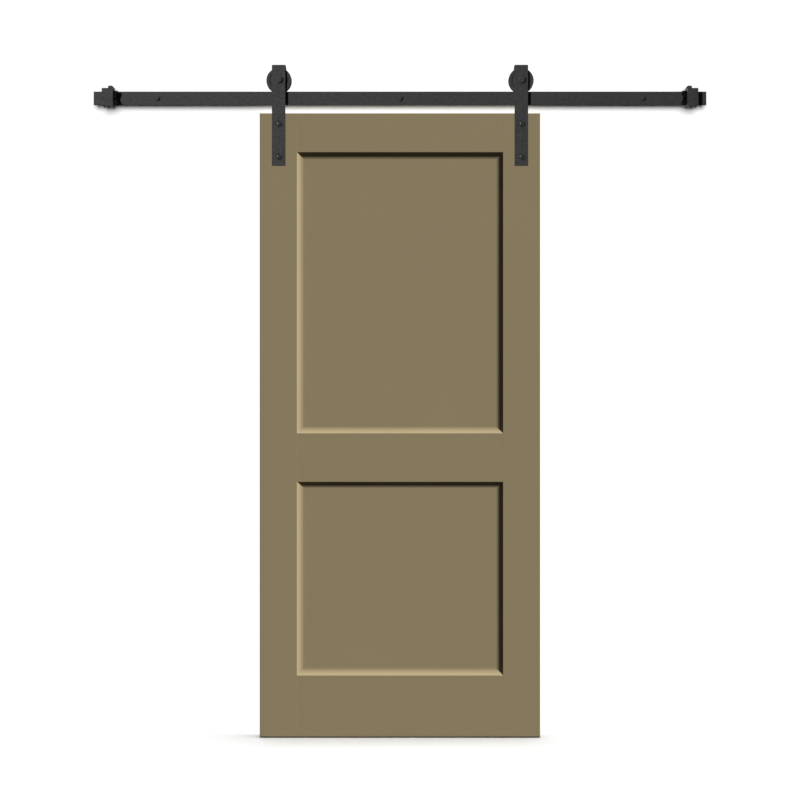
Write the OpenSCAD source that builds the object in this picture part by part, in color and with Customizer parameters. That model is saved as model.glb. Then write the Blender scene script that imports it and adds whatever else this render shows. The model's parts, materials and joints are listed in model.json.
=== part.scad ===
// Two-panel sliding barn door on a flat rail, with its hangers, rollers, wall bolts and end stops.
// Millimetres. +X to the right, +Y towards the wall, +Z up.
// The origin is on the wall plane, on the axis of the middle wall bolt.

/* [Door leaf] */
// Width of the door
door_w = 914; // [760:1:1100]
// Height of the door
door_h = 2032; // [1690:1:2450]
// Thickness of the door
door_t = 35; // [29:0.5:42]
// Face width of the uprights
stile_w = 121; // [115:1:160]
// Face height of the top cross piece
top_rail_h = 127; // [105:1:200]
// Face height of the middle cross piece
lock_rail_h = 158; // [105:1:220]
// Face height of the bottom cross piece
bottom_rail_h = 200; // [120:1:300]
// Height of the lower opening, face to face
lower_opening_h = 631; // [300:1:760]
// Thickness of the recessed panels
panel_t = 9; // [6:0.5:12]
// How far the coved edge of the frame runs into an opening
cove_run = 22; // [16:0.5:26]
// Height of the step between the foot of the cove and the panel
cove_step = 0.8; // [0.4:0.1:2]
// Depth of the panel groove, from the tip of the coved edge
panel_groove = 12; // [10:0.5:16]
// Space left behind a panel or a tenon at the bottom of the groove
groove_end_gap = 2; // [0.5:0.5:4]
// Gap between a panel or tenon and each wall of its groove
groove_clear = 0.1; // [0.05:0.05:0.3]
// Gap between a cross piece's coped end and the upright
cope_gap = 0.15; // [0.05:0.05:0.3]
// Diameter of the dowels that join the frame
dowel_d = 12; // [8:0.5:16]
// Length of the dowels
dowel_l = 90; // [70:1:96]
// Distance from a cross piece's face edge to its nearest dowel
dowel_edge = 32; // [28:1:45]
// Radial gap round a dowel
dowel_clear = 0.1; // [0.05:0.05:0.3]
// Width of the eased edges round the leaf
leaf_edge = 1.5; // [0.5:0.1:3]
// Width of the floor-guide groove in the bottom edge
guide_groove_w = 8; // [6:0.5:12]
// Depth of the floor-guide groove
guide_groove_d = 18; // [10:0.5:22]

/* [Rail] */
// Length of the rail
rail_l = 2000; // [1800:1:2400]
// Height of the flat bar
rail_h = 44; // [38:0.5:53]
// Thickness of the flat bar
rail_t = 6; // [5:0.5:8]
// Width of the broken edges along the bar
rail_edge = 0.8; // [0.3:0.1:1.5]
// Distance between neighbouring wall bolts
wall_bolt_pitch = 396; // [330:1:420]
// Number of wall bolts
wall_bolt_count = 5; // [3:2:5]
// Space from the wall to the back of the rail
stand_off = 30; // [28:0.5:40]
// Outer diameter of the tube spacers
stand_off_d = 22; // [16:0.5:26]
// Diameter of the plain shank of a wall bolt
lag_shank_d = 8; // [6:0.5:10]
// Diameter of the part of a wall bolt that goes into the wall
lag_thread_d = 7; // [5:0.5:8]
// Depth of a wall bolt in the wall
lag_depth = 55; // [35:1:80]
// Length of the point of a wall bolt
lag_point = 7; // [4:0.5:10]
// Diameter at the tip of that point
lag_tip_d = 1.4; // [0.5:0.1:2]
// Hex size of the wall bolts
lag_hex = 13; // [10:0.5:16]
// Height of a wall bolt's head
lag_head_h = 5.3; // [4:0.1:6]
// Outer diameter of the washers under the heads
lag_washer_d = 17; // [16:0.5:24]
// Thickness of those washers
lag_washer_t = 1.6; // [1:0.1:2]

/* [Hangers] */
// Distance from the door's side to the middle of a strap
hanger_inset = 62; // [50:0.5:70]
// Width of a strap
strap_w = 44; // [36:0.5:53]
// Thickness of a strap
strap_t = 6; // [5:0.5:7.5]
// Width of the broken edges along a strap
strap_edge = 0.8; // [0.3:0.1:1.5]
// Space between the two legs of a strap
strap_inside = 26; // [24:0.5:30]
// Inner radius of the folds
fold_r = 4; // [2:0.5:6]
// Gap between the wheel and the inside of the fold
fold_gap = 3.3; // [1.5:0.1:8]
// Length of the front leg below the top of the door
strap_drop = 172; // [165:1:220]
// Length of the back leg below the axle
back_leg = 24; // [18:0.5:28]
// Gap between the rail and the top of the door
door_gap = 28.5; // [20:0.1:40]
// Distance from the top of the door to the upper door bolt
door_bolt_drop = 36; // [30:0.5:45]
// Distance between the two door bolts
door_bolt_pitch = 107; // [80:0.5:110]
// Distance from the end of a door bolt to the back of the door
door_bolt_back = 8; // [5:0.5:10]
// Diameter of the door bolts
door_bolt_d = 10; // [8:0.5:12]
// Hex size of the door bolts
door_bolt_hex = 19; // [16:0.5:22]
// Height of a door bolt's head
door_bolt_head_h = 8; // [5:0.5:10]
// Radius of the dome on a door bolt's head
door_bolt_dome_r = 13; // [12:0.5:20]
// Outer diameter of the sleeve nuts
sleeve_d = 14; // [13:0.5:16]
// Length of a sleeve nut inside the door
sleeve_l = 24; // [15:0.5:27]
// Diameter of a sleeve nut's flat head
sleeve_head_d = 24; // [18:0.5:30]
// Thickness of that head
sleeve_head_t = 3; // [1.5:0.5:4]
// Radial gap of bolts and nuts in their holes
bolt_clear = 0.2; // [0.05:0.05:0.5]

/* [Rollers] */
// Diameter of a wheel over its flanges
wheel_d = 82; // [68:1:100]
// Width of a wheel
wheel_w = 18; // [16:0.5:20]
// Depth of the groove that runs on the rail
wheel_groove = 6; // [4:0.5:7]
// Side play of the rail in the groove
wheel_play = 0.5; // [0.3:0.1:1]
// Flare of each groove wall
wheel_flare = 1.5; // [0.5:0.1:2]
// Rounding of the flange edges
flange_r = 2; // [0.5:0.5:2.5]
// Depth of the dished ring in each side of a wheel
dish = 2.5; // [1:0.5:3.5]
// Width of the plain ring on each side of the dish
dish_margin = 4; // [2:0.5:5]
// Running gap between wheel and rail
run_gap = 0.3; // [0.2:0.05:0.5]
// Hex size of the axle bolts
axle_hex = 22; // [19:0.5:24]
// Height of an axle bolt's head
axle_head_h = 7; // [5:0.5:9]
// Thickness of the axle nuts
axle_nut_h = 6; // [5:0.5:8]
// Length of an axle bolt past its nut
axle_tail = 1.5; // [0.5:0.5:3]
// Bore of the ball bearings
bearing_id = 12; // [10:0.5:12.5]
// Outer diameter of the ball bearings
bearing_od = 32; // [30:0.5:40]
// Width of the ball bearings
bearing_w = 10; // [9:0.5:12]
// Height of the shoulder that holds a bearing in its wheel
bearing_shoulder = 2; // [1:0.5:2.5]
// Diameter of the balls
ball_d = 6; // [5:0.1:6.2]
// Number of balls in a bearing
ball_count = 7; // [5:1:7]
// Free space between the two rings of a bearing
ring_space = 3.4; // [2.8:0.1:4]
// Running gap of the balls, cage and shields
ball_gap = 0.3; // [0.2:0.05:0.4]
// Radial gap of bearing seats and of the axle in its bores
seat_clear = 0.05; // [0.02:0.01:0.1]
// Thickness of the bearing shields
shield_t = 0.5; // [0.3:0.1:0.7]
// Thickness of the retaining rings
circlip_t = 1.2; // [1:0.1:1.5]
// How far a retaining ring goes into its groove
circlip_bite = 0.8; // [0.5:0.1:1.2]
// Diameter of the eyes of a retaining ring
circlip_eye_d = 3.6; // [3:0.1:4]
// Angle from the middle of a retaining ring's gap to each eye
circlip_eye_angle = 20; // [15:1:25]

/* [End stops] */
// Length of a stop block along the rail
stop_l = 36; // [25:0.5:50]
// Length of rail left free past a stop
stop_inset = 31; // [5:0.5:60]
// Thickness of a stop's walls above, below and behind the rail
stop_wall = 6.5; // [4:0.5:8]
// Thickness of a stop in front of the rail
stop_front = 24; // [22:0.5:30]
// Length of the raised lug
lug_l = 15; // [8:0.5:25]
// Height of the raised lug
lug_h = 7.5; // [3:0.5:10]
// Rounding of a stop's corners, seen from the room
stop_corner_r = 3; // [1:0.5:3.5]
// Gap between a stop and the rail
stop_clear = 0.15; // [0.05:0.05:0.3]
// Diameter of the set screws
set_screw_d = 6; // [4:0.5:8]
// Distance between the two set screws of a stop
set_screw_pitch = 18; // [12:0.5:24]
// Length of a rubber bumper
bumper_l = 15; // [12:0.5:25]
// Height of a rubber bumper
bumper_h = 40; // [30:0.5:44]
// Depth of a rubber bumper, front to back
bumper_w = 18; // [14:0.5:20]
// Depth of the hollow in a bumper's end
bumper_hollow = 5; // [2:0.5:6]
// Height of that hollow
bumper_hollow_h = 26; // [16:0.5:28]
// Diameter of the softening hole through a bumper
bumper_hole_d = 7; // [4:0.5:8]
// Distance of that hole from the stop
bumper_hole_in = 5; // [4.5:0.5:8]
// Distance of that hole below the middle of the rail
bumper_hole_drop = 6; // [0:0.5:8]
// Diameter of a bumper's stem
bumper_stem_d = 8; // [6:0.5:10]
// Length of a bumper's stem
bumper_stem_l = 10; // [6:0.5:14]

/* [Hidden] */
$fn = 64;
cut = 1;
// Slope of the turned corners of a hex head, and the share of its face that stays flat
hex_slope = 30;
hex_face = 0.95;
olive = [0.52, 0.47, 0.37];
beech = [0.8, 0.66, 0.46];
black_coat = [0.24, 0.24, 0.24];
bright_steel = [0.72, 0.72, 0.72];
cage_brass = [0.72, 0.6, 0.32];
rubber_black = [0.07, 0.07, 0.07];

// Planes across the wall, from the wall to the room
rail_back_y = -stand_off;
rail_front_y = rail_back_y - rail_t;
rail_mid_y = (rail_back_y + rail_front_y) / 2;
door_front_y = rail_mid_y - strap_inside / 2;
door_back_y = door_front_y + door_t;
door_mid_y = (door_front_y + door_back_y) / 2;
strap_front_y = door_front_y - strap_t;
strap_mid_y = (door_front_y + strap_front_y) / 2;
strap_back_y = rail_mid_y + strap_inside / 2 + strap_t;

// Heights, measured from the middle of the rail
rail_top_z = rail_h / 2;
groove_r = wheel_d / 2 - wheel_groove;
axle_z = rail_top_z + run_gap + groove_r;
fold_in_z = axle_z + wheel_d / 2 + fold_gap;
door_top_z = -rail_h / 2 - door_gap;
door_bottom_z = door_top_z - door_h;
strap_bottom_z = door_top_z - strap_drop;
back_leg_z = axle_z - back_leg;
bottom_rail_top_z = door_bottom_z + bottom_rail_h;
lock_rail_z = bottom_rail_top_z + lower_opening_h;
lock_rail_top_z = lock_rail_z + lock_rail_h;
top_rail_z = door_top_z - top_rail_h;

// Frame of the door
opening_w = door_w - 2 * stile_w;
cove_depth = (door_t - panel_t) / 2 - cove_step;
cove_r = (pow(cove_run, 2) + pow(cove_depth, 2)) / (2 * cove_depth);
groove_w = panel_t + 2 * groove_clear;
tongue = panel_groove - groove_end_gap;
hanger_x = door_w / 2 - hanger_inset;
bolt_zs = [door_top_z - door_bolt_drop, door_top_z - door_bolt_drop - door_bolt_pitch];

// Bearing, from its bore outwards
ball_r = ball_d / 2;
pitch_r = (bearing_id + bearing_od) / 4;
inner_land_r = pitch_r - ring_space / 2;
outer_land_r = pitch_r + ring_space / 2;
race_r = ball_r + ball_gap;
shield_y = bearing_w / 2 - ball_gap - shield_t;
cage_half_w = shield_y - ball_gap;
cage_wall = ring_space / 2;
axle_r = bearing_id / 2 - seat_clear;
spacer_l = (strap_inside - bearing_w) / 2;
bearing_seat_r = bearing_od / 2 + seat_clear;

// End stops
stop_outer_x = rail_l / 2 - stop_inset;
stop_inner_x = stop_outer_x - stop_l;
stop_half_h = rail_h / 2 + stop_wall;
bumper_hollow_r = (pow(bumper_hollow_h / 2, 2) + pow(bumper_hollow, 2)) / (2 * bumper_hollow);
wall_bolt_x = [for (i = [0 : wall_bolt_count - 1]) (i - (wall_bolt_count - 1) / 2) * wall_bolt_pitch];

// A cylinder along Y, from y0 to y1
module rod_y(d, y0, y1, sides = $fn) {
    translate([0, y1, 0])
        rotate([90, 0, 0])
            cylinder(d = d, h = y1 - y0, $fn = sides);
}

// A tube along Y
module tube_y(od, id, y0, y1) {
    difference() {
        rod_y(od, y0, y1);
        rod_y(id, y0 - cut, y1 + cut);
    }
}

// A hex prism along Y with a point at the bottom
module hex_y(across_flats, y0, y1) {
    rotate([0, 30, 0])
        rod_y(across_flats / cos(30), y0, y1, 6);
}

// A hex head along Y whose corners are turned off towards its face at y0
module hex_head(across_flats, y0, y1) {
    h = y1 - y0;
    face_d = hex_face * across_flats;
    intersection() {
        hex_y(across_flats, y0, y1);
        translate([0, y1, 0])
            rotate([90, 0, 0])
                cylinder(d1 = face_d + 2 * h / tan(hex_slope), d2 = face_d, h = h);
    }
}

// Revolves a section about an axle along Y; the section's y runs towards the room
module turned() {
    rotate([90, 0, 0])
        rotate_extrude()
            children();
}

// Extrudes a section drawn in (y, z) along X, centred
module along_x(l) {
    rotate([90, 0, 90])
        translate([0, 0, -l / 2])
            linear_extrude(l)
                children();
}

// Places an axle's children at one hanger
module at_axle(side) {
    translate([side * hanger_x, rail_mid_y, axle_z])
        children();
}

// Section of a flat bar or board, centred, with its four corners broken
module bar_section(w, h, edge) {
    polygon([
        [-w / 2, edge - h / 2], [edge - w / 2, -h / 2],
        [w / 2 - edge, -h / 2], [w / 2, edge - h / 2],
        [w / 2, h / 2 - edge], [w / 2 - edge, h / 2],
        [edge - w / 2, h / 2], [-w / 2, h / 2 - edge]
    ]);
}

module rail() {
    color(black_coat)
        difference() {
            along_x(rail_l)
                translate([rail_mid_y, 0])
                    bar_section(rail_t, rail_h, rail_edge);
            for (x = wall_bolt_x)
                translate([x, 0, 0])
                    rod_y(lag_shank_d + 2 * bolt_clear, rail_front_y - cut, rail_back_y + cut);
        }
}

module stand_offs() {
    color(black_coat)
        for (x = wall_bolt_x)
            translate([x, 0, 0])
                tube_y(stand_off_d, lag_shank_d + 2 * bolt_clear, rail_back_y, 0);
}

module wall_bolts() {
    seat_y = rail_front_y - lag_washer_t;
    color(black_coat)
        for (x = wall_bolt_x)
            translate([x, 0, 0]) {
                hex_head(lag_hex, seat_y - lag_head_h, seat_y);
                rod_y(lag_shank_d, seat_y, 0);
                rod_y(lag_thread_d, 0, lag_depth - lag_point);
                translate([0, lag_depth - lag_point, 0])
                    rotate([-90, 0, 0])
                        cylinder(d1 = lag_thread_d, d2 = lag_tip_d, h = lag_point);
            }
}

module wall_washers() {
    color(black_coat)
        for (x = wall_bolt_x)
            translate([x, 0, 0])
                tube_y(lag_washer_d, lag_shank_d + 2 * bolt_clear,
                    rail_front_y - lag_washer_t, rail_front_y);
}

// A rectangle from a corner at the origin, with its corners rounded
module rounded_rectangle(w, h, r) {
    translate([r, 0])
        square([w - 2 * r, h]);
    translate([0, r])
        square([w, h - 2 * r]);
    for (x = [r, w - r], y = [r, h - r])
        translate([x, y])
            circle(r);
}

// Outline of the right stop, seen from the room: a block with a raised lug at its inner end
module stop_outline() {
    lug_root = 2 * stop_corner_r;
    translate([stop_inner_x, -stop_half_h])
        rounded_rectangle(stop_l, 2 * stop_half_h, stop_corner_r);
    translate([stop_inner_x, stop_half_h - lug_root])
        rounded_rectangle(lug_l, lug_h + lug_root, stop_corner_r);
}

// A sleeve block on the right end of the rail
module stop_block() {
    slot_t = rail_t + 2 * stop_clear;
    slot_h = rail_h + 2 * stop_clear;
    difference() {
        translate([0, rail_back_y + stop_wall, 0])
            rotate([90, 0, 0])
                linear_extrude(stop_front + rail_t + stop_wall)
                    stop_outline();
        translate([stop_inner_x - cut, rail_front_y - stop_clear, -slot_h / 2])
            cube([stop_l + 2 * cut, slot_t, slot_h]);
        translate([stop_inner_x, strap_mid_y, 0])
            rotate([0, 90, 0])
                translate([0, 0, -cut])
                    cylinder(d = bumper_stem_d + 2 * bolt_clear, h = bumper_stem_l + 2 * cut);
        at_set_screws()
            cylinder(d = set_screw_d + 2 * bolt_clear, h = stop_wall + 2 * cut, center = true);
    }
}

// The middle of the bottom wall of the right stop, at each set screw
module at_set_screws() {
    for (i = [-0.5, 0.5])
        translate([
            stop_inner_x + stop_l / 2 + i * set_screw_pitch,
            rail_mid_y,
            -(rail_h + stop_wall) / 2
        ])
            children();
}

module left_stop() { color(black_coat) mirror([1, 0, 0]) stop_block(); }
module right_stop() { color(black_coat) stop_block(); }

// A rubber bumper on the inner end of the right stop
module bumper() {
    tip_x = stop_inner_x - bumper_l;
    difference() {
        union() {
            translate([tip_x, strap_mid_y - bumper_w / 2, -bumper_h / 2])
                cube([bumper_l, bumper_w, bumper_h]);
            translate([stop_inner_x - cut, strap_mid_y, 0])
                rotate([0, 90, 0])
                    cylinder(d = bumper_stem_d, h = bumper_stem_l + cut);
        }
        translate([tip_x + bumper_hollow - bumper_hollow_r, strap_mid_y, 0])
            rod_y(2 * bumper_hollow_r, -bumper_w, bumper_w);
        translate([stop_inner_x - bumper_hole_in, strap_mid_y, -bumper_hole_drop])
            rod_y(bumper_hole_d, -bumper_w, bumper_w);
    }
}

module left_bumper() { color(rubber_black) mirror([1, 0, 0]) bumper(); }
module right_bumper() { color(rubber_black) bumper(); }

module stop_screws() {
    socket = set_screw_d / 2;
    l = stop_wall;
    color(bright_steel)
        for (side = [0, 1])
            mirror([side, 0, 0])
                at_set_screws()
                    difference() {
                        cylinder(d = set_screw_d, h = l, center = true);
                        translate([0, 0, -l / 2 - cut])
                            cylinder(d = socket, h = socket + cut, $fn = 6);
                    }
}

// Section of a frame piece: u across its face, v through the door
// A coved edge with a panel groove stands on each side that faces an opening
module frame_section(w, low, high) {
    difference() {
        union() {
            square([w, door_t]);
            if (low)
                mirror([1, 0]) coved_edge();
            if (high)
                translate([w, 0]) coved_edge();
        }
        if (low)
            mirror([1, 0]) edge_groove();
        if (high)
            translate([w, 0]) edge_groove();
    }
}

// Both faces of the edge are hollowed by an arc that lies flat at its foot
// It is larger all round by the gap when it cuts the end of a cross piece
module coved_edge(gap = 0) {
    difference() {
        square([cove_run + gap, door_t]);
        for (v = [cove_depth - cove_r, door_t - cove_depth + cove_r])
            translate([cove_run, v])
                circle(cove_r - gap);
    }
}

module edge_groove() {
    translate([cove_run - panel_groove, (door_t - groove_w) / 2])
        square([panel_groove + cut, groove_w]);
}

// The groove for the floor guide, along the whole bottom edge
module guide_groove() {
    translate([-door_w / 2 - cut, door_mid_y - guide_groove_w / 2, door_bottom_z - cut])
        cube([door_w + 2 * cut, guide_groove_w, guide_groove_d + cut]);
}

// Heights of the two dowels of a cross piece between z0 and z1
function dowel_zs(z0, z1) = [z0 + dowel_edge, z1 - dowel_edge];
all_dowel_zs = concat(
    dowel_zs(door_bottom_z, bottom_rail_top_z),
    dowel_zs(lock_rail_z, lock_rail_top_z),
    dowel_zs(top_rail_z, door_top_z)
);

// Every dowel, or its hole when the gaps are given
module dowels(radial_gap = 0, end_gap = 0) {
    l = dowel_l + 2 * end_gap;
    for (side = [-1, 1], z = all_dowel_zs)
        translate([side * opening_w / 2, door_mid_y, z])
            rotate([0, 90, 0])
                cylinder(d = dowel_d + 2 * radial_gap, h = l, center = true);
}

module dowel_holes() {
    dowels(dowel_clear, cut);
}

// The whole leaf as a board, with its outer edges eased
module leaf_board() {
    intersection() {
        translate([0, door_mid_y, door_bottom_z])
            linear_extrude(door_h)
                bar_section(door_w, door_t, leaf_edge);
        along_x(door_w)
            translate([door_mid_y, door_bottom_z + door_h / 2])
                bar_section(door_t, door_h, leaf_edge);
    }
}

// The left upright, with the holes for its strap's bolts
module stile() {
    color(olive)
        difference() {
            intersection() {
                translate([-door_w / 2, door_front_y, door_bottom_z])
                    linear_extrude(door_h)
                        frame_section(stile_w, false, true);
                leaf_board();
            }
            for (z = bolt_zs)
                translate([-hanger_x, 0, z])
                    rod_y(sleeve_d + 2 * bolt_clear, door_front_y - cut, door_back_y + cut);
            dowel_holes();
            guide_groove();
        }
}

module left_stile() { stile(); }
module right_stile() { mirror([1, 0, 0]) stile(); }

// A cross piece between z0 and z1, coped over the uprights, with a stub tenon at each end
module cross_piece(z0, z1, low, high) {
    tip_w = opening_w - 2 * cove_run;
    tenon_z0 = z0 + (low ? panel_groove - cove_run : guide_groove_d);
    tenon_z1 = z1 - (high ? panel_groove - cove_run : 0);
    color(olive)
        difference() {
            union() {
                difference() {
                    intersection() {
                        along_x(opening_w)
                            translate([door_front_y, z0])
                                mirror([1, -1])
                                    frame_section(z1 - z0, low, high);
                        leaf_board();
                    }
                    for (side = [0, 1])
                        mirror([side, 0, 0])
                            translate([-opening_w / 2, door_front_y, z0 - cove_run - cut])
                                linear_extrude(z1 - z0 + 2 * (cove_run + cut))
                                    coved_edge(cope_gap);
                }
                translate([-tip_w / 2 - tongue, door_mid_y - panel_t / 2, tenon_z0])
                    cube([tip_w + 2 * tongue, panel_t, tenon_z1 - tenon_z0]);
            }
            dowel_holes();
            guide_groove();
        }
}

module top_rail() { cross_piece(top_rail_z, door_top_z, true, false); }
module lock_rail() { cross_piece(lock_rail_z, lock_rail_top_z, true, true); }
module bottom_rail() { cross_piece(door_bottom_z, bottom_rail_top_z, false, true); }

// A panel for the opening between z0 and z1, with its edges in the grooves
module panel(z0, z1) {
    reach = tongue - cove_run;
    w = opening_w + 2 * reach;
    color(olive)
        translate([-w / 2, door_mid_y - panel_t / 2, z0 - reach])
            cube([w, panel_t, z1 - z0 + 2 * reach]);
}

module upper_panel() { panel(lock_rail_top_z, top_rail_z); }
module lower_panel() { panel(bottom_rail_top_z, lock_rail_z); }

module frame_dowels() { color(beech) dowels(); }

// A quarter bend of a strap's bar about an axis along X, from its back leg to its top
module strap_bend() {
    rotate([90, 0, 90])
        rotate_extrude(angle = 90)
            translate([fold_r + strap_t / 2, 0])
                bar_section(strap_t, strap_w, strap_edge);
}

// A flat bar folded over the wheel: a long front leg, two bends and a short back leg
module strap_bar() {
    leg_y = (strap_inside + strap_t) / 2;
    bend_z = fold_in_z - fold_r;
    top_l = strap_inside - 2 * fold_r;
    for (leg = [[-leg_y, strap_bottom_z], [leg_y, back_leg_z]])
        translate([0, leg[0], leg[1]])
            linear_extrude(bend_z - leg[1])
                bar_section(strap_w, strap_t, strap_edge);
    for (front = [0, 1])
        mirror([0, front, 0])
            translate([0, top_l / 2, bend_z])
                strap_bend();
    translate([0, 0, fold_in_z + strap_t / 2])
        rotate([90, 0, 0])
            linear_extrude(top_l, center = true)
                bar_section(strap_w, strap_t, strap_edge);
}

module strap(side) {
    hole_d = bearing_id + 2 * bolt_clear;
    color(black_coat)
        translate([side * hanger_x, 0, 0])
            difference() {
                translate([0, rail_mid_y, 0])
                    strap_bar();
                translate([0, 0, axle_z])
                    rod_y(hole_d, strap_front_y - cut, strap_back_y + cut);
                for (z = bolt_zs)
                    translate([0, 0, z])
                        rod_y(door_bolt_d + 2 * bolt_clear, strap_front_y - cut, door_front_y + cut);
            }
}

module left_strap() { strap(-1); }
module right_strap() { strap(1); }

module axle_bolt(side) {
    nut_y = strap_back_y - rail_mid_y;
    head_y = strap_front_y - rail_mid_y;
    color(black_coat)
        at_axle(side) {
            hex_head(axle_hex, head_y - axle_head_h, head_y);
            rod_y(2 * axle_r, head_y, nut_y + axle_nut_h + axle_tail);
        }
}

module left_axle_bolt() { axle_bolt(-1); }
module right_axle_bolt() { axle_bolt(1); }

module axle_spacers(side) {
    color(bright_steel)
        at_axle(side)
            for (back = [0, 1])
                mirror([0, back, 0])
                    tube_y(2 * (inner_land_r - ball_gap), bearing_id + 2 * bolt_clear,
                        bearing_w / 2, bearing_w / 2 + spacer_l);
}

module left_axle_spacers() { axle_spacers(-1); }
module right_axle_spacers() { axle_spacers(1); }

module axle_nut(side) {
    nut_y = strap_back_y - rail_mid_y;
    color(black_coat)
        at_axle(side)
            difference() {
                mirror([0, 1, 0])
                    hex_head(axle_hex, -nut_y - axle_nut_h, -nut_y);
                rod_y(bearing_id, nut_y - cut, nut_y + axle_nut_h + cut);
            }
}

module left_axle_nut() { axle_nut(-1); }
module right_axle_nut() { axle_nut(1); }

// Domed hex bolts through the strap, into the sleeve nuts
module door_bolts(side) {
    shank_end_y = door_back_y - door_bolt_back;
    dome_y = strap_front_y - door_bolt_head_h + door_bolt_dome_r;
    color(black_coat)
        for (z = bolt_zs)
            translate([side * hanger_x, 0, z]) {
                intersection() {
                    hex_y(door_bolt_hex, strap_front_y - door_bolt_head_h, strap_front_y);
                    translate([0, dome_y, 0])
                        sphere(door_bolt_dome_r);
                }
                rod_y(door_bolt_d, strap_front_y, shank_end_y);
            }
}

module left_door_bolts() { door_bolts(-1); }
module right_door_bolts() { door_bolts(1); }

// Flat-headed nuts let into the back of the door, with a screwdriver slot
module sleeve_nuts(side) {
    head_y = door_back_y + sleeve_head_t;
    slot_w = sleeve_head_t / 2;
    color(black_coat)
        for (z = bolt_zs)
            translate([side * hanger_x, 0, z])
                difference() {
                    union() {
                        rod_y(sleeve_d, door_back_y - sleeve_l, door_back_y);
                        rod_y(sleeve_head_d, door_back_y, head_y);
                    }
                    rod_y(door_bolt_d + 2 * seat_clear, door_back_y - sleeve_l - cut, door_back_y);
                    translate([-sleeve_head_d, head_y - slot_w, -slot_w / 2])
                        cube([2 * sleeve_head_d, slot_w + cut, slot_w]);
                }
}

module left_sleeve_nuts() { sleeve_nuts(-1); }
module right_sleeve_nuts() { sleeve_nuts(1); }

// Half section of a wheel in (radius, width), its bearing shoulder towards the room
module wheel_section() {
    half_w = wheel_w / 2;
    rail_half = rail_t / 2 + wheel_play;
    dish_r0 = bearing_seat_r + dish_margin;
    dish_r1 = groove_r - dish_margin;
    difference() {
        union() {
            translate([0, -half_w])
                square([wheel_d / 2 - flange_r, wheel_w]);
            translate([0, flange_r - half_w])
                square([wheel_d / 2, wheel_w - 2 * flange_r]);
            for (side = [-1, 1])
                translate([wheel_d / 2 - flange_r, side * (half_w - flange_r)])
                    circle(flange_r);
        }
        polygon([
            [groove_r, -rail_half], [groove_r, rail_half],
            [wheel_d / 2 + cut, rail_half + wheel_flare], [wheel_d / 2 + cut, -rail_half - wheel_flare]
        ]);
        for (side = [0, 1])
            mirror([0, side])
                polygon([
                    [dish_r0, half_w + cut], [dish_r0 + dish, half_w - dish],
                    [dish_r1 - dish, half_w - dish], [dish_r1, half_w + cut]
                ]);
        translate([0, -half_w - cut])
            square([bearing_seat_r, half_w + cut + bearing_w / 2]);
        translate([0, -half_w - cut])
            square([bearing_od / 2 - bearing_shoulder, wheel_w + 2 * cut]);
        translate([0, -bearing_w / 2 - circlip_t - seat_clear])
            square([bearing_seat_r + circlip_bite + seat_clear, circlip_t + seat_clear]);
    }
}

module wheel(side) {
    color(black_coat)
        at_axle(side)
            turned() wheel_section();
}

module left_wheel() { wheel(-1); }
module right_wheel() { wheel(1); }

// A bearing ring between two radii, with the balls' race in one wall
module bearing_ring(r0, r1) {
    turned()
        difference() {
            translate([r0, -bearing_w / 2])
                square([r1 - r0, bearing_w]);
            translate([pitch_r, 0])
                circle(race_r);
        }
}

module outer_ring(side) {
    color(bright_steel)
        at_axle(side)
            bearing_ring(outer_land_r, bearing_od / 2);
}

module left_outer_ring() { outer_ring(-1); }
module right_outer_ring() { outer_ring(1); }

module inner_ring(side) {
    color(bright_steel)
        at_axle(side)
            bearing_ring(bearing_id / 2, inner_land_r);
}

module left_inner_ring() { inner_ring(-1); }
module right_inner_ring() { inner_ring(1); }

// Turns its children to each ball's direction
module at_balls() {
    for (i = [0 : ball_count - 1])
        rotate([0, i * 360 / ball_count, 0])
            children();
}

module balls(side) {
    color(bright_steel)
        at_axle(side)
            at_balls()
                translate([pitch_r, 0, 0])
                    sphere(ball_r);
}

module left_balls() { balls(-1); }
module right_balls() { balls(1); }

// A ring with a drilled pocket for each ball
module cage(side) {
    color(cage_brass)
        at_axle(side)
            difference() {
                tube_y(2 * pitch_r + cage_wall, 2 * pitch_r - cage_wall, -cage_half_w, cage_half_w);
                at_balls()
                    translate([pitch_r, 0, 0])
                        rotate([0, 90, 0])
                            cylinder(r = race_r, h = 2 * cage_wall, center = true);
            }
}

module left_cage() { cage(-1); }
module right_cage() { cage(1); }

module shields(side) {
    color(bright_steel)
        at_axle(side)
            for (back = [0, 1])
                mirror([0, back, 0])
                    tube_y(2 * (outer_land_r - seat_clear), 2 * (inner_land_r + ball_gap),
                        shield_y, shield_y + shield_t);
}

module left_shields() { shields(-1); }
module right_shields() { shields(1); }

// An open ring with two eyes, behind the bearing
module circlip(side) {
    out_r = bearing_seat_r + circlip_bite;
    in_r = bearing_od / 2 - bearing_shoulder;
    color(bright_steel)
        at_axle(side)
            translate([0, bearing_w / 2, 0])
                difference() {
                    union() {
                        tube_y(2 * out_r, 2 * in_r, 0, circlip_t);
                        for (turn = [-1, 1])
                            rotate([0, turn * circlip_eye_angle, 0])
                                translate([0, 0, -in_r])
                                    rod_y(circlip_eye_d, 0, circlip_t);
                    }
                    circlip_gap();
                    for (turn = [-1, 1])
                        rotate([0, turn * circlip_eye_angle, 0])
                            translate([0, 0, -in_r])
                                rod_y(circlip_eye_d / 2, -cut, circlip_t + cut);
                }
}

// The open wedge between the eyes of a retaining ring
module circlip_gap() {
    reach = bearing_od;
    edge = reach * tan(circlip_eye_angle / 2);
    translate([0, -cut, 0])
        rotate([-90, 0, 0])
            linear_extrude(circlip_t + 2 * cut)
                polygon([[0, 0], [-edge, reach], [edge, reach]]);
}

module left_circlip() { circlip(-1); }
module right_circlip() { circlip(1); }

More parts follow.
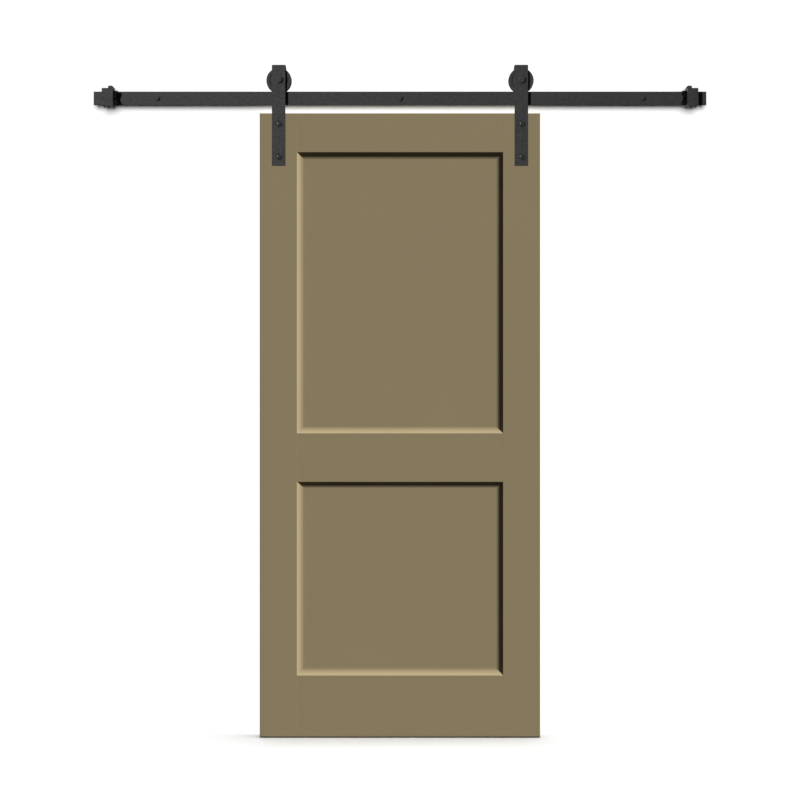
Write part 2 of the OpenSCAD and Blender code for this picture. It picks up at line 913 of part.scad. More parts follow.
rail();
stand_offs();
wall_bolts();
wall_washers();
left_stop();
right_stop();
left_bumper();
right_bumper();
stop_screws();
left_stile();
right_stile();
top_rail();
lock_rail();
bottom_rail();
upper_panel();
lower_panel();
frame_dowels();
left_strap();
right_strap();
left_axle_bolt();
right_axle_bolt();
left_axle_spacers();
right_axle_spacers();
left_axle_nut();
right_axle_nut();
left_door_bolts();
right_door_bolts();
left_sleeve_nuts();
right_sleeve_nuts();
left_wheel();
right_wheel();
left_outer_ring();
right_outer_ring();
left_inner_ring();
right_inner_ring();
left_balls();
right_balls();
left_cage();
right_cage();
left_shields();
right_shields();
left_circlip();
right_circlip();
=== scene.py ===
"""Two-panel sliding barn door on its flat rail: finishes, fixings, stage, light and camera.

Metres, with +X to the right, +Y towards the wall and +Z up. The origin is on the wall plane, at the middle
wall bolt.
"""
import json
import math

import bmesh
import bpy
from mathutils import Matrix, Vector


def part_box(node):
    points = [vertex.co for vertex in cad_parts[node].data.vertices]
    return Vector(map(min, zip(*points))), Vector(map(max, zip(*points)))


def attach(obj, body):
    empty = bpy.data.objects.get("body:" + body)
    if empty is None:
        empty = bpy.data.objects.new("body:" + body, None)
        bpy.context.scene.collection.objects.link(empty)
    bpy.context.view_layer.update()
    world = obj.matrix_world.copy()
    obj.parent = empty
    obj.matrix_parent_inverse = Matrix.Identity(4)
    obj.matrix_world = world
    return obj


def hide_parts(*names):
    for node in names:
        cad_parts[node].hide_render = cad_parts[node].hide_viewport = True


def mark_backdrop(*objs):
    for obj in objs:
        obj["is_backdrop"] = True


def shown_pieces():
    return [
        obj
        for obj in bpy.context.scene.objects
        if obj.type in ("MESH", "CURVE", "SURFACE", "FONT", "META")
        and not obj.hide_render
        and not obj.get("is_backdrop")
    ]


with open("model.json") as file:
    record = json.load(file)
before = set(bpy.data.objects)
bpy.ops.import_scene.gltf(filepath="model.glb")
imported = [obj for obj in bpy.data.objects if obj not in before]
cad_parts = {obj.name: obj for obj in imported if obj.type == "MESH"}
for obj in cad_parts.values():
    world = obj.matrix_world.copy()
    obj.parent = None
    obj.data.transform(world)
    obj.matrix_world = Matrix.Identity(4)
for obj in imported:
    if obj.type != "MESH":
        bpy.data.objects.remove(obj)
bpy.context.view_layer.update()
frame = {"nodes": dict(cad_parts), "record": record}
nodes = frame["nodes"]
record = frame["record"]
slots = {part["node"]: part["material_slot"] for part in record["subparts"]}
body_of = {node: body for body, members in record["behaviour"]["bodies"].items() for node in members}

MM = 0.001
SIDES = ("left", "right")
LEAF_SLOTS = ("door_paint", "dowel_wood")

# Where the photograph was taken from, and the width that it takes in at the front of the leaf
CAMERA_AT = (0.0, -4.546, -0.985)
VIEW_WIDTH = 2.606
SENSOR_MM = 36.0
leaf_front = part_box("left_stile")[0].y
leaf_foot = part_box("left_stile")[0].z


class Wire:
    """A shader socket that takes part in Python sums: each operator adds one Math node."""

    def __init__(self, shader, socket):
        self.shader = shader
        self.socket = socket

    def worked(self, operation, first, second):
        return self.shader.node("ShaderNodeMath", {"operation": operation}, {0: first, 1: second})

    def __add__(self, other):
        return self.worked("ADD", self, other)

    def __radd__(self, other):
        return self.worked("ADD", other, self)

    def __mul__(self, other):
        return self.worked("MULTIPLY", self, other)

    def __rmul__(self, other):
        return self.worked("MULTIPLY", other, self)

    def or_more(self, other):
        return self.worked("MAXIMUM", self, other)


class Shader:
    """The node tree of a material or of the world, built node by node."""

    def __init__(self, owner):
        owner.use_nodes = True
        self.owner = owner
        self.tree = owner.node_tree
        self.tree.nodes.clear()

    def feed(self, socket, value):
        """Links a wire to a socket, or sets the socket to a plain value."""
        if isinstance(value, Wire):
            self.tree.links.new(value.socket, socket)
        elif socket.type == "RGBA":
            socket.default_value = (*value, 1.0)
        else:
            socket.default_value = value

    def node(self, kind, settings=None, sockets=None, output=0):
        """Adds a node: its settings are set first, then its sockets."""
        made = self.tree.nodes.new(kind)
        for key, value in (settings or {}).items():
            setattr(made, key, value)
        for key, value in (sockets or {}).items():
            self.feed(made.inputs[key], value)
        return Wire(self, made.outputs[output])

    def place(self, stretch=None):
        """A point of the object, stretched along its axes where a pattern has a direction."""
        point = self.node("ShaderNodeTexCoord", output="Object")
        if stretch is None:
            return point
        return self.node("ShaderNodeMapping", {}, {"Vector": point, "Scale": stretch})

    def noise(self, size, detail=2.0, roughness=0.5, where=None):
        """Smooth noise about 0.5, with spots of about the given size in metres."""
        return self.node("ShaderNodeTexNoise", {}, {
            "Vector": where or self.place(), "Scale": 1 / size, "Detail": detail, "Roughness": roughness,
        })

    def mixed(self, factor, first, second):
        """A colour between two colours."""
        return self.node("ShaderNodeMix", {"data_type": "RGBA"}, {0: factor, 6: first, 7: second}, output=2)

    def bump(self, height, depth, strength):
        """A normal from a height in shares of depth, which is in metres."""
        return self.node("ShaderNodeBump", {}, {"Strength": strength, "Distance": depth, "Height": height})

    def surface(self, **sockets):
        """Ends a material in a Principled shader. Names are the socket names with _ for spaces."""
        values = {name.replace("_", " "): value for name, value in sockets.items()}
        return self.end(self.node("ShaderNodeBsdfPrincipled", {}, values))

    def end(self, shader, output="ShaderNodeOutputMaterial"):
        """Links a shader to the tree's output and gives back the material or the world."""
        self.tree.links.new(shader.socket, self.tree.nodes.new(output).inputs["Surface"])
        return self.owner


def finish_named(name):
    """A new material, still without a surface."""
    return Shader(bpy.data.materials.new(name))


def shade(colour, factor):
    """A colour made lighter or darker."""
    return tuple(channel * factor for channel in colour)


def sprayed_satin_paint():
    """Olive paint sprayed on smooth fibreboard: faint clouding and a fine orange peel."""
    olive = (0.218, 0.176, 0.102)
    finish = finish_named("sprayed_satin_paint")
    clouds = finish.noise(220 * MM, detail=3.0)
    specks = finish.noise(4 * MM)
    peel = finish.noise(3.2 * MM, detail=1.0)
    grit = finish.noise(0.9 * MM)
    wear = finish.noise(30 * MM, detail=3.0)
    return finish.surface(
        Base_Color=finish.mixed(0.8 * clouds + 0.2 * specks, shade(olive, 0.97), shade(olive, 1.03)),
        Roughness=0.44 + 0.14 * wear,
        Normal=finish.bump(0.8 * peel + 0.2 * grit, depth=0.05 * MM, strength=0.3),
        Specular_IOR_Level=0.06,
    )


def textured_black_coat():
    """Black powder coat with a fine leathery texture, a little uneven in tone."""
    black = (0.057, 0.057, 0.058)
    finish = finish_named("textured_black_coat")
    patches = finish.noise(9 * MM, detail=3.0, roughness=0.6)
    grains = finish.noise(4 * MM)
    pimples = finish.noise(1.2 * MM, roughness=0.6)
    return finish.surface(
        Base_Color=finish.mixed(0.55 * patches + 0.45 * grains, shade(black, 0.1), shade(black, 1.95)),
        Roughness=0.5 + 0.2 * grains,
        Normal=finish.bump(pimples, depth=0.1 * MM, strength=0.6),
        Specular_IOR_Level=0.02,
    )


def smooth_black_dome():
    """Blackened steel of the domed bolt heads, smoother than the coat round them."""
    finish = finish_named("smooth_black_dome")
    film = finish.noise(5 * MM, detail=3.0)
    grain = finish.noise(0.9 * MM)
    return finish.surface(
        Base_Color=finish.mixed(film, (0.007, 0.007, 0.008), (0.014, 0.014, 0.015)),
        Roughness=0.16 + 0.1 * film,
        Normal=finish.bump(grain, depth=0.02 * MM, strength=0.4),
        Specular_IOR_Level=0.32,
    )


def moulded_rubber():
    """Matt black rubber, a little dusty."""
    finish = finish_named("moulded_rubber")
    dust = finish.noise(6 * MM, detail=4.0, roughness=0.6)
    skin = finish.noise(0.8 * MM)
    return finish.surface(
        Base_Color=finish.mixed(dust, (0.003, 0.003, 0.003), (0.009, 0.009, 0.01)),
        Roughness=0.68 + 0.2 * dust,
        Normal=finish.bump(skin, depth=0.05 * MM, strength=0.6),
        Specular_IOR_Level=0.02,
    )


def ground_steel():
    """Ground bearing steel: fine turning marks round the axle and faint oil clouds."""
    finish = finish_named("ground_steel")
    oil = finish.noise(8 * MM, detail=3.0)
    marks = finish.noise(2.2 * MM, where=finish.place(stretch=(1.0, 14.0, 1.0)))
    return finish.surface(
        Base_Color=finish.mixed(oil, (0.52, 0.52, 0.53), (0.64, 0.63, 0.61)),
        Metallic=1.0,
        Roughness=0.2 + 0.18 * marks,
        Normal=finish.bump(marks, depth=0.02 * MM, strength=0.5),
    )


def drilled_brass():
    """Brass with a dull turned skin."""
    finish = finish_named("drilled_brass")
    tarnish = finish.noise(4 * MM, detail=3.0)
    skin = finish.noise(0.6 * MM)
    return finish.surface(
        Base_Color=finish.mixed(tarnish, (0.5, 0.36, 0.13), (0.72, 0.56, 0.25)),
        Metallic=1.0,
        Roughness=0.26 + 0.2 * tarnish,
        Normal=finish.bump(skin, depth=0.02 * MM, strength=0.5),
    )


def bare_beech():
    """Unpainted beech with its grain along the dowel, which lies along X."""
    finish = finish_named("bare_beech")
    along = finish.place(stretch=(0.06, 1.0, 1.0))
    grain = finish.noise(1.6 * MM, detail=4.0, roughness=0.6, where=along)
    flecks = finish.noise(0.6 * MM, detail=1.0, where=along)
    return finish.surface(
        Base_Color=finish.mixed(grain, (0.45, 0.3, 0.17), (0.68, 0.52, 0.34)),
        Roughness=0.55 + 0.2 * flecks,
        Normal=finish.bump(flecks, depth=0.05 * MM, strength=0.6),
    )


finish_of = {
    "door_paint": sprayed_satin_paint(),
    "dowel_wood": bare_beech(),
    "black_coat": textured_black_coat(),
    "bright_steel": ground_steel(),
    "cage_brass": drilled_brass(),
    "bumper_rubber": moulded_rubber(),
}
dome_finish = smooth_black_dome()
for name, node in nodes.items():
    node.data.materials.clear()
    node.data.materials.append(finish_of[slots[name]])


def new_piece(name, data):
    """An object in the scene, at the origin, from a mesh, a lamp or a camera."""
    piece = bpy.data.objects.new(name, data)
    bpy.context.scene.collection.objects.link(piece)
    return piece


def stand_for(piece, node):
    """Makes a finished piece take a CAD node's place, on its body."""
    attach(piece, body_of[node])
    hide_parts(node)
    return piece


def as_plain_mesh(piece):
    """Works a piece's modifiers into its mesh and removes them."""
    graph = bpy.context.evaluated_depsgraph_get()
    mesh = bpy.data.meshes.new_from_object(piece.evaluated_get(graph))
    piece.modifiers.clear()
    piece.data = mesh
    return piece


# Coated pieces: copies of the CAD nodes with rounded edges. The roundings are in millimetres
ROUNDINGS = {
    "strap": 0.35, "stop": 0.8, "bumper": 1.0,
    "axle_bolt": 0.3, "axle_nut": 0.3, "sleeve_nuts": 0.3,
}
ROUNDING_STEPS = 2
EDGE_ANGLE = math.radians(35)
FLAT_ANGLE = math.radians(0.5)
MERGE_DISTANCE = 0.002 * MM


def merged_copy(node):
    """A copy of a CAD node's mesh with its loose triangles joined and its flat faces made whole."""
    mesh = nodes[node].data.copy()
    for layer in ("custom_normal", "sharp_edge", "sharp_face"):
        if layer in mesh.attributes:
            mesh.attributes.remove(mesh.attributes[layer])
    work = bmesh.new()
    work.from_mesh(mesh)
    bmesh.ops.remove_doubles(work, verts=work.verts, dist=MERGE_DISTANCE)
    bmesh.ops.dissolve_limit(work, angle_limit=FLAT_ANGLE, verts=work.verts, edges=work.edges)
    work.to_mesh(mesh)
    work.free()
    return mesh


def softened(node, width):
    """A copy of a CAD node with its sharp edges rounded, as a coat of paint leaves them."""
    piece = new_piece(node + "_coated", merged_copy(node))
    piece.data.shade_smooth()
    bevel = piece.modifiers.new("edges", "BEVEL")
    bevel.width = width
    bevel.segments = ROUNDING_STEPS
    bevel.limit_method = "ANGLE"
    bevel.angle_limit = EDGE_ANGLE
    bevel.harden_normals = True
    weld = piece.modifiers.new("closing", "WELD")
    weld.merge_threshold = MERGE_DISTANCE
    return stand_for(as_plain_mesh(piece), node)


for side in SIDES:
    for part, width in ROUNDINGS.items():
        softened(f"{side}_{part}", width * MM)


# Turned pieces: rings of points round an axis along Y
ROUND = 48
TURNS = [2 * math.pi * i / ROUND for i in range(ROUND)]
HEX_TURN = math.pi / 3
CREASE_ANGLE = math.radians(28)


def round_ring(radius, y):
    """A ring of one radius."""
    return [(radius, y)] * ROUND


def hex_reach(across_flats, turn):
    """Distance from the axis of a hex to its side, with a corner straight up."""
    from_flat = (turn + HEX_TURN / 2) % HEX_TURN - HEX_TURN / 2
    return across_flats / 2 / math.cos(from_flat)


def hex_ring(across_flats, y):
    """A ring along the sides of a hex."""
    return [(hex_reach(across_flats, turn), y) for turn in TURNS]


def turned(name, rings, is_tube=False):
    """A piece through rings of (radius, y) pairs, closed by flat ends or, as a tube, by joining its ends."""
    work = bmesh.new()
    loops = []
    for outline in rings:
        points = [(r * math.cos(turn), y, r * math.sin(turn)) for turn, (r, y) in zip(TURNS, outline)]
        loops.append([work.verts.new(point) for point in points])
    pairs = list(zip(loops, loops[1:]))
    if is_tube:
        pairs.append((loops[-1], loops[0]))
    else:
        work.faces.new(loops[0])
        work.faces.new(loops[-1])
    for near, far in pairs:
        for i in range(ROUND):
            j = (i + 1) % ROUND
            work.faces.new((near[i], near[j], far[j], far[i]))
    bmesh.ops.recalc_face_normals(work, faces=work.faces)
    mesh = bpy.data.meshes.new(name)
    work.to_mesh(mesh)
    work.free()
    mesh.shade_smooth()
    mesh.set_sharp_from_angle(angle=CREASE_ANGLE)
    return new_piece(name, mesh)


class Plan:
    """A Geometry Nodes tree that works on a piece, with named inputs for its sizes."""

    def __init__(self, name, inputs):
        self.tree = bpy.data.node_groups.new(name, "GeometryNodeTree")
        plug = self.tree.interface.new_socket
        plug("Piece", in_out="INPUT", socket_type="NodeSocketGeometry")
        self.plugs = {
            label: plug(label, in_out="INPUT", socket_type=kind) for label, kind in inputs.items()
        }
        plug("Made", in_out="OUTPUT", socket_type="NodeSocketGeometry")
        self.given = self.tree.nodes.new("NodeGroupInput").outputs

    def node(self, kind, settings=None, sockets=None):
        """Adds a node: its settings are set first, then its sockets. Returns its first output."""
        made = self.tree.nodes.new(kind)
        for key, value in (settings or {}).items():
            setattr(made, key, value)
        for key, value in (sockets or {}).items():
            if isinstance(value, bpy.types.NodeSocket):
                self.tree.links.new(value, made.inputs[key])
            else:
                made.inputs[key].default_value = value
        return made.outputs[0]

    def number(self, operation, first, second):
        """Adds a Math node."""
        return self.node("ShaderNodeMath", {"operation": operation}, {0: first, 1: second})

    def end(self, geometry):
        """Links a geometry to the tree's output."""
        self.tree.links.new(geometry, self.tree.nodes.new("NodeGroupOutput").inputs[0])

    def end_in_copies(self, points):
        """Ends the plan in copies of its piece at points, made real and given their finish."""
        given = self.given
        copies = self.node("GeometryNodeInstanceOnPoints", {}, {
            "Points": points, "Instance": given["Piece"],
        })
        real = self.node("GeometryNodeRealizeInstances", {}, {"Geometry": copies})
        self.end(self.node("GeometryNodeSetMaterial", {}, {"Geometry": real, "Material": given["Finish"]}))

    def put_on(self, piece, **values):
        """Adds the plan to a piece's modifiers, with each input set by its identifier."""
        modifier = piece.modifiers.new(self.tree.name, "NODES")
        modifier.node_group = self.tree
        for label, value in values.items():
            modifier[self.plugs[label].identifier] = value


# Points to a turn of thread, corners of its ridge, and the share of the ridge left at its very ends
THREAD_STEPS = 24
RIDGE_CORNERS = 4
RUN_OUT_LEFT = 0.06


def thread_plan():
    """A ridge wound round a shank along Y, which runs out over a turn at both ends."""
    plan = Plan("thread", {
        "Start": "NodeSocketVector", "Turns": "NodeSocketFloat", "Lead": "NodeSocketFloat",
        "First_radius": "NodeSocketFloat", "Last_radius": "NodeSocketFloat", "Height": "NodeSocketFloat",
    })
    given = plan.given
    spiral = plan.node("GeometryNodeCurveSpiral", {}, {
        "Resolution": THREAD_STEPS, "Rotations": given["Turns"],
        "Start Radius": given["First_radius"], "End Radius": given["Last_radius"],
        "Height": plan.number("MULTIPLY", given["Turns"], given["Lead"]),
    })
    upright = plan.node("GeometryNodeSetCurveNormal", {"mode": "Z_UP"}, {"Curve": spiral})
    ridge = plan.node("GeometryNodeCurvePrimitiveCircle", {}, {
        "Resolution": RIDGE_CORNERS, "Radius": given["Height"],
    })
    along = plan.node("GeometryNodeSplineParameter")
    from_end = plan.number("MINIMUM", along, plan.number("SUBTRACT", 1.0, along))
    turns_from_end = plan.number("MULTIPLY", from_end, given["Turns"])
    run_out = plan.number("MINIMUM", plan.number("MAXIMUM", turns_from_end, RUN_OUT_LEFT), 1.0)
    wound = plan.node("GeometryNodeCurveToMesh", {}, {
        "Curve": upright, "Profile Curve": ridge, "Scale": run_out, "Fill Caps": True,
    })
    laid = plan.node("GeometryNodeTransform", {}, {
        "Geometry": wound, "Translation": given["Start"], "Rotation": (-math.pi / 2, 0.0, 0.0),
    })
    joined = plan.node("GeometryNodeJoinGeometry", {}, {0: given["Piece"]})
    plan.tree.links.new(laid, joined.node.inputs[0])
    plan.end(joined)
    return plan


def row_plan():
    """Copies of a piece at equal steps along a line."""
    plan = Plan("row", {
        "Count": "NodeSocketInt", "First": "NodeSocketVector",
        "Step": "NodeSocketVector", "Finish": "NodeSocketMaterial",
    })
    given = plan.given
    line = plan.node("GeometryNodeMeshLine", {"mode": "OFFSET", "count_mode": "TOTAL"}, {
        "Count": given["Count"], "Start Location": given["First"], "Offset": given["Step"],
    })
    plan.end_in_copies(line)
    return plan


def ring_plan():
    """Copies of a piece at equal steps round an axle along Y, the first one to the right of it."""
    plan = Plan("ring", {
        "Count": "NodeSocketInt", "Radius": "NodeSocketFloat",
        "Axle": "NodeSocketVector", "Finish": "NodeSocketMaterial",
    })
    given = plan.given
    circle = plan.node("GeometryNodeMeshCircle", {}, {
        "Vertices": given["Count"], "Radius": given["Radius"],
    })
    plan.end_in_copies(plan.node("GeometryNodeTransform", {}, {
        "Geometry": circle, "Translation": given["Axle"], "Rotation": (math.pi / 2, 0.0, 0.0),
    }))
    return plan


thread = thread_plan()
row = row_plan()
ring = ring_plan()


def size_of(node):
    """The size of a CAD node's box."""
    low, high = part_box(node)
    return high - low


# The wall fixings: threaded wall bolts, their washers and the tubes behind the rail
BOLT_COUNT = 5
BOLT_BORE = 8.4 * MM
BOLT_SHANK = 8 * MM
TURNED_EDGE = 0.35 * MM
# The flat face of a bolt's head, as a share of its width across flats, and the slope of its corners
HEX_FACE = 0.95
HEX_SLOPE = math.tan(math.radians(30))
# The thread's lead, core radius and ridge height, and the point's length, turns, end radius and ridge
THREAD_LEAD = 3 * MM
THREAD_ROOT = 2.6 * MM
THREAD_CREST = 0.9 * MM
POINT_LENGTH = 7 * MM
POINT_TURNS = 3.0
POINT_RADIUS = 0.5 * MM
POINT_CREST = 0.63 * MM

bolt_low, bolt_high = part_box("wall_bolts")
washer_low, washer_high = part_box("wall_washers")
bolt_hex = size_of("wall_bolts").z * math.cos(HEX_TURN / 2)
bolt_pitch = (size_of("wall_bolts").x - bolt_hex) / (BOLT_COUNT - 1)
bolt_row = {
    "Count": BOLT_COUNT,
    "First": (-bolt_pitch * (BOLT_COUNT - 1) / 2, 0.0, 0.0),
    "Step": (bolt_pitch, 0.0, 0.0),
}


def wall_bolt():
    """A hex wall bolt: head with its corners turned off, plain shank, threaded core and point."""
    face_radius = HEX_FACE * bolt_hex / 2
    corners = [hex_reach(bolt_hex, turn) for turn in TURNS]
    core_end = bolt_high.y - POINT_LENGTH
    piece = turned("wall_bolts_threaded", [
        round_ring(face_radius, bolt_low.y),
        [(reach, bolt_low.y + (reach - face_radius) * HEX_SLOPE) for reach in corners],
        hex_ring(bolt_hex, washer_low.y),
        round_ring(BOLT_SHANK / 2, washer_low.y),
        round_ring(BOLT_SHANK / 2, 0.0),
        round_ring(THREAD_ROOT, BOLT_SHANK / 2 - THREAD_ROOT),
        round_ring(THREAD_ROOT, core_end),
        round_ring(POINT_RADIUS, bolt_high.y),
    ])
    thread.put_on(
        piece, Start=(0.0, 0.0, 0.0), Turns=core_end / THREAD_LEAD, Lead=THREAD_LEAD,
        First_radius=THREAD_ROOT, Last_radius=THREAD_ROOT, Height=THREAD_CREST,
    )
    thread.put_on(
        piece, Start=(0.0, core_end - THREAD_LEAD, 0.0), Turns=POINT_TURNS, Lead=POINT_LENGTH / POINT_TURNS,
        First_radius=THREAD_ROOT, Last_radius=POINT_RADIUS, Height=POINT_CREST,
    )
    return piece


def tube_rings(inner, outer, front_y, back_y):
    """Rings of a tube whose outer edges are broken."""
    return [
        round_ring(inner, back_y),
        round_ring(inner, front_y),
        round_ring(outer - TURNED_EDGE, front_y),
        round_ring(outer, front_y + TURNED_EDGE),
        round_ring(outer, back_y - TURNED_EDGE),
        round_ring(outer - TURNED_EDGE, back_y),
    ]


def wall_washer():
    """A flat washer under the head of a wall bolt."""
    outer = size_of("wall_washers").z / 2
    rings = tube_rings(BOLT_BORE / 2, outer, washer_low.y, washer_high.y)
    return turned("wall_washers_turned", rings, is_tube=True)


def stand_off():
    """A tube that holds the rail off the wall."""
    low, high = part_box("stand_offs")
    outer = size_of("stand_offs").z / 2
    rings = tube_rings(BOLT_BORE / 2, outer, low.y, high.y)
    return turned("stand_offs_turned", rings, is_tube=True)


for node, make in (("wall_bolts", wall_bolt), ("wall_washers", wall_washer), ("stand_offs", stand_off)):
    fixing = make()
    row.put_on(fixing, Finish=finish_of[slots[node]], **bolt_row)
    stand_for(as_plain_mesh(fixing), node)


# The bolts through the straps, with domed hex heads. The steps are where the dome has its rings, as shares
# of the way from its middle to the sides of the hex
DOME_RADIUS = 13 * MM
DOME_STEPS = (0.03, 0.25, 0.5, 0.7, 0.85, 0.95, 1.0)
DOOR_BOLT_SHANK = 10 * MM
DOOR_BOLT_COUNT = 2


def dome_ring(across_flats, share_out, top_y):
    """A ring of the dome, at a share of the way from its middle to the sides of the hex."""
    outline = []
    for turn in TURNS:
        radius = share_out * hex_reach(across_flats, turn)
        outline.append((radius, top_y + DOME_RADIUS - math.sqrt(DOME_RADIUS ** 2 - radius ** 2)))
    return outline


def door_bolts(side):
    """The bolts through a strap, one above the other: domed hex heads on plain shanks."""
    node = f"{side}_door_bolts"
    low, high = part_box(node)
    across_flats = size_of(node).x
    corner = across_flats / 2 / math.cos(HEX_TURN / 2)
    seat_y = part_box(f"{side}_strap")[0].y
    rings = [dome_ring(across_flats, share_out, low.y) for share_out in DOME_STEPS]
    rings.append(hex_ring(across_flats, seat_y))
    rings.append(round_ring(DOOR_BOLT_SHANK / 2, seat_y))
    rings.append(round_ring(DOOR_BOLT_SHANK / 2, high.y))
    piece = turned(f"{side}_door_bolts_domed", rings)
    pitch = high.z - low.z - 2 * corner
    row.put_on(
        piece, Count=DOOR_BOLT_COUNT, First=((low.x + high.x) / 2, 0.0, low.z + corner),
        Step=(0.0, 0.0, pitch), Finish=dome_finish,
    )
    return stand_for(as_plain_mesh(piece), node)


for side in SIDES:
    door_bolts(side)


# The balls of the bearings. Their roundness is a number of subdivisions
BALL_COUNT = 7
BALL_ROUNDNESS = 4


def bearing_balls(side):
    """The balls round an axle, one of them straight to the right of it."""
    node = f"{side}_balls"
    wheel_low, wheel_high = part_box(f"{side}_wheel")
    axle = (wheel_low + wheel_high) / 2
    ball_radius = size_of(node).y / 2
    ring_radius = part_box(node)[1].x - axle.x - ball_radius
    work = bmesh.new()
    bmesh.ops.create_icosphere(work, subdivisions=BALL_ROUNDNESS, radius=ball_radius)
    ball = bpy.data.meshes.new(f"{side}_ball")
    work.to_mesh(ball)
    work.free()
    ball.shade_smooth()
    piece = new_piece(f"{side}_balls_ground", ball)
    ring.put_on(
        piece, Count=BALL_COUNT, Radius=ring_radius, Axle=tuple(axle), Finish=finish_of[slots[node]],
    )
    return stand_for(as_plain_mesh(piece), node)


for side in SIDES:
    bearing_balls(side)


# The stage: a pale floor and a pale backdrop that is open from behind
STAGE_WHITE = 0.9
STAGE_REACH = 8.0
FLOOR_GAP = 3 * MM
BACKDROP_Y = 1 * MM


def plane(name, corners):
    """A flat plate through four corners."""
    mesh = bpy.data.meshes.new(name)
    mesh.from_pydata(corners, [], [(0, 1, 2, 3)])
    return new_piece(name, mesh)


def pale_stage(name, one_sided):
    """A matt white. Where it is one-sided, nothing of it shows from behind."""
    finish = finish_named(name)
    shader = finish.node("ShaderNodeBsdfDiffuse", {}, {"Color": (STAGE_WHITE,) * 3})
    if one_sided:
        behind = finish.node("ShaderNodeNewGeometry", output="Backfacing")
        clear = finish.node("ShaderNodeBsdfTransparent")
        shader = finish.node("ShaderNodeMixShader", {}, {0: behind, 1: shader, 2: clear})
    return finish.end(shader)


floor_z = leaf_foot - FLOOR_GAP
floor = plane("floor", [
    (-STAGE_REACH, -STAGE_REACH, floor_z), (STAGE_REACH, -STAGE_REACH, floor_z),
    (STAGE_REACH, STAGE_REACH, floor_z), (-STAGE_REACH, STAGE_REACH, floor_z),
])
backdrop = plane("backdrop", [
    (-STAGE_REACH, BACKDROP_Y, floor_z), (STAGE_REACH, BACKDROP_Y, floor_z),
    (STAGE_REACH, BACKDROP_Y, STAGE_REACH), (-STAGE_REACH, BACKDROP_Y, STAGE_REACH),
])
floor.data.materials.append(pale_stage("pale_floor", one_sided=False))
backdrop.data.materials.append(pale_stage("pale_backdrop", one_sided=True))
for plate in (floor, backdrop):
    plate.visible_diffuse = False
    plate.visible_glossy = False
    plate.visible_transmission = False
    plate.visible_shadow = False
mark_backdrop(floor, backdrop)


# The lamps: each lights one group of pieces, and one group casts its shadows.
# An irradiance of pi shows a colour as it is written
PLAIN = math.pi


def light_group(name, members):
    """A collection of pieces for the lamps to refer to."""
    group = bpy.data.collections.new(name)
    for member in members:
        group.objects.link(member)
    return group


END_PIECES = ("_stop_coated", "_bumper_coated")
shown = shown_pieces()
leaf_nodes = [node for node in nodes if slots[node] in LEAF_SLOTS]
leaf = light_group("leaf", [nodes[node] for node in leaf_nodes])
hardware = light_group("hardware", [piece for piece in shown if piece.name not in leaf_nodes])
everything = light_group("everything", shown)
bar = light_group("bar", [
    piece for piece in shown if piece.name == "rail" or piece.name.endswith(END_PIECES)
])
floor_only = light_group("floor_only", [floor])
backdrop_only = light_group("backdrop_only", [backdrop])


def link_light(lamp, lights, shaded_by):
    """Keeps a lamp to the group that it lights and the group that casts its shadows."""
    lamp.light_linking.receiver_collection = lights
    lamp.light_linking.blocker_collection = shaded_by


def sun(name, towards, irradiance, angle, lights, shaded_by):
    """A distant lamp. towards points at the lamp, irradiance is on a face square to it."""
    data = bpy.data.lights.new(name, "SUN")
    data.energy = irradiance
    data.angle = math.radians(angle)
    lamp = new_piece(name, data)
    lamp.rotation_euler = Vector(towards).to_track_quat("Z", "Y").to_euler()
    link_light(lamp, lights, shaded_by)


def bulb(name, at, target, irradiance, radius, lights, shaded_by):
    """A round lamp that gives the irradiance at a target, on a face square to the light."""
    data = bpy.data.lights.new(name, "POINT")
    data.energy = irradiance * 4 * math.pi * (Vector(at) - Vector(target)).length_squared
    data.shadow_soft_size = radius
    lamp = new_piece(name, data)
    lamp.location = at
    link_light(lamp, lights, shaded_by)


def share(towards, normal):
    """The share of a lamp's light that falls on a face."""
    return Vector(towards).normalized().dot(Vector(normal))


FRONT = (0, -1, 0)
BACK = (0, 1, 0)
UP = (0, 0, 1)
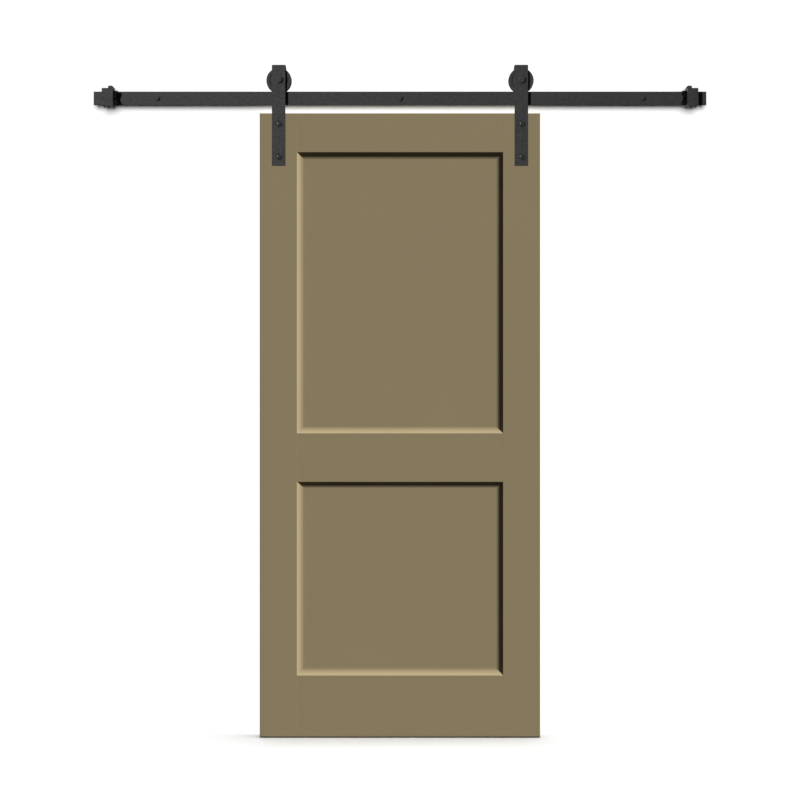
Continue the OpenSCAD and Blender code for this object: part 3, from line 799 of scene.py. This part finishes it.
# Directions towards the distant lamps, the place of the hardware's lamp and where on the rail it is measured
LEAF_KEY = (2.1, -1.0, 2.2)
HARDWARE_KEY = (-4.0, -6.5, 1.3)
RAIL_END = (-0.95, -0.036, 0.0)
BACK_FILL = (-0.62, 0.76, 0.2)
SIDE_FILL = (0.9, 0.35, 0.25)
BACKDROP_WASH = (0.0, -1.0, 0.1)
FLOOR_SIDE = (1.0, -0.1, 0.7)
sun("leaf_key", LEAF_KEY, irradiance=PLAIN / share(LEAF_KEY, FRONT), angle=12,
    lights=leaf, shaded_by=floor_only)
bulb("hardware_key", HARDWARE_KEY, RAIL_END, irradiance=PLAIN, radius=0.35,
     lights=hardware, shaded_by=everything)
sun("back_fill", BACK_FILL, irradiance=0.75 * PLAIN / share(BACK_FILL, BACK), angle=20,
    lights=everything, shaded_by=everything)
sun("side_fill", SIDE_FILL, irradiance=0.3 * PLAIN, angle=30,
    lights=hardware, shaded_by=everything)
sun("backdrop_wash", BACKDROP_WASH, irradiance=1.12 * PLAIN / share(BACKDROP_WASH, FRONT), angle=36,
    lights=backdrop_only, shaded_by=bar)
sun("floor_wash", UP, irradiance=0.92 * PLAIN, angle=11,
    lights=floor_only, shaded_by=leaf)
sun("floor_side", FLOOR_SIDE, irradiance=0.2 * PLAIN / share(FLOOR_SIDE, UP), angle=50,
    lights=floor_only, shaded_by=leaf)

# A white surround for the eye and for reflections, and a dim one for the light on the object
AMBIENT = 0.03
sky = Shader(bpy.data.worlds.new("surround"))
camera_ray = sky.node("ShaderNodeLightPath", output="Is Camera Ray")
glossy_ray = sky.node("ShaderNodeLightPath", output="Is Glossy Ray")
transmission_ray = sky.node("ShaderNodeLightPath", output="Is Transmission Ray")
seen = camera_ray.or_more(glossy_ray).or_more(transmission_ray)
brightness = AMBIENT + (1 - AMBIENT) * seen
surround = sky.node("ShaderNodeBackground", {}, {"Color": (1.0, 1.0, 1.0), "Strength": brightness})
bpy.context.scene.world = sky.end(surround, "ShaderNodeOutputWorld")

# The camera, level and square to the door
camera_data = bpy.data.cameras.new("camera")
camera_data.sensor_width = SENSOR_MM
camera_data.lens = SENSOR_MM * (leaf_front - CAMERA_AT[1]) / VIEW_WIDTH
camera = new_piece("camera", camera_data)
camera.location = CAMERA_AT
camera.rotation_euler = (math.radians(90), 0, 0)
bpy.context.scene.camera = camera

bpy.context.scene.view_settings.view_transform = "Standard"
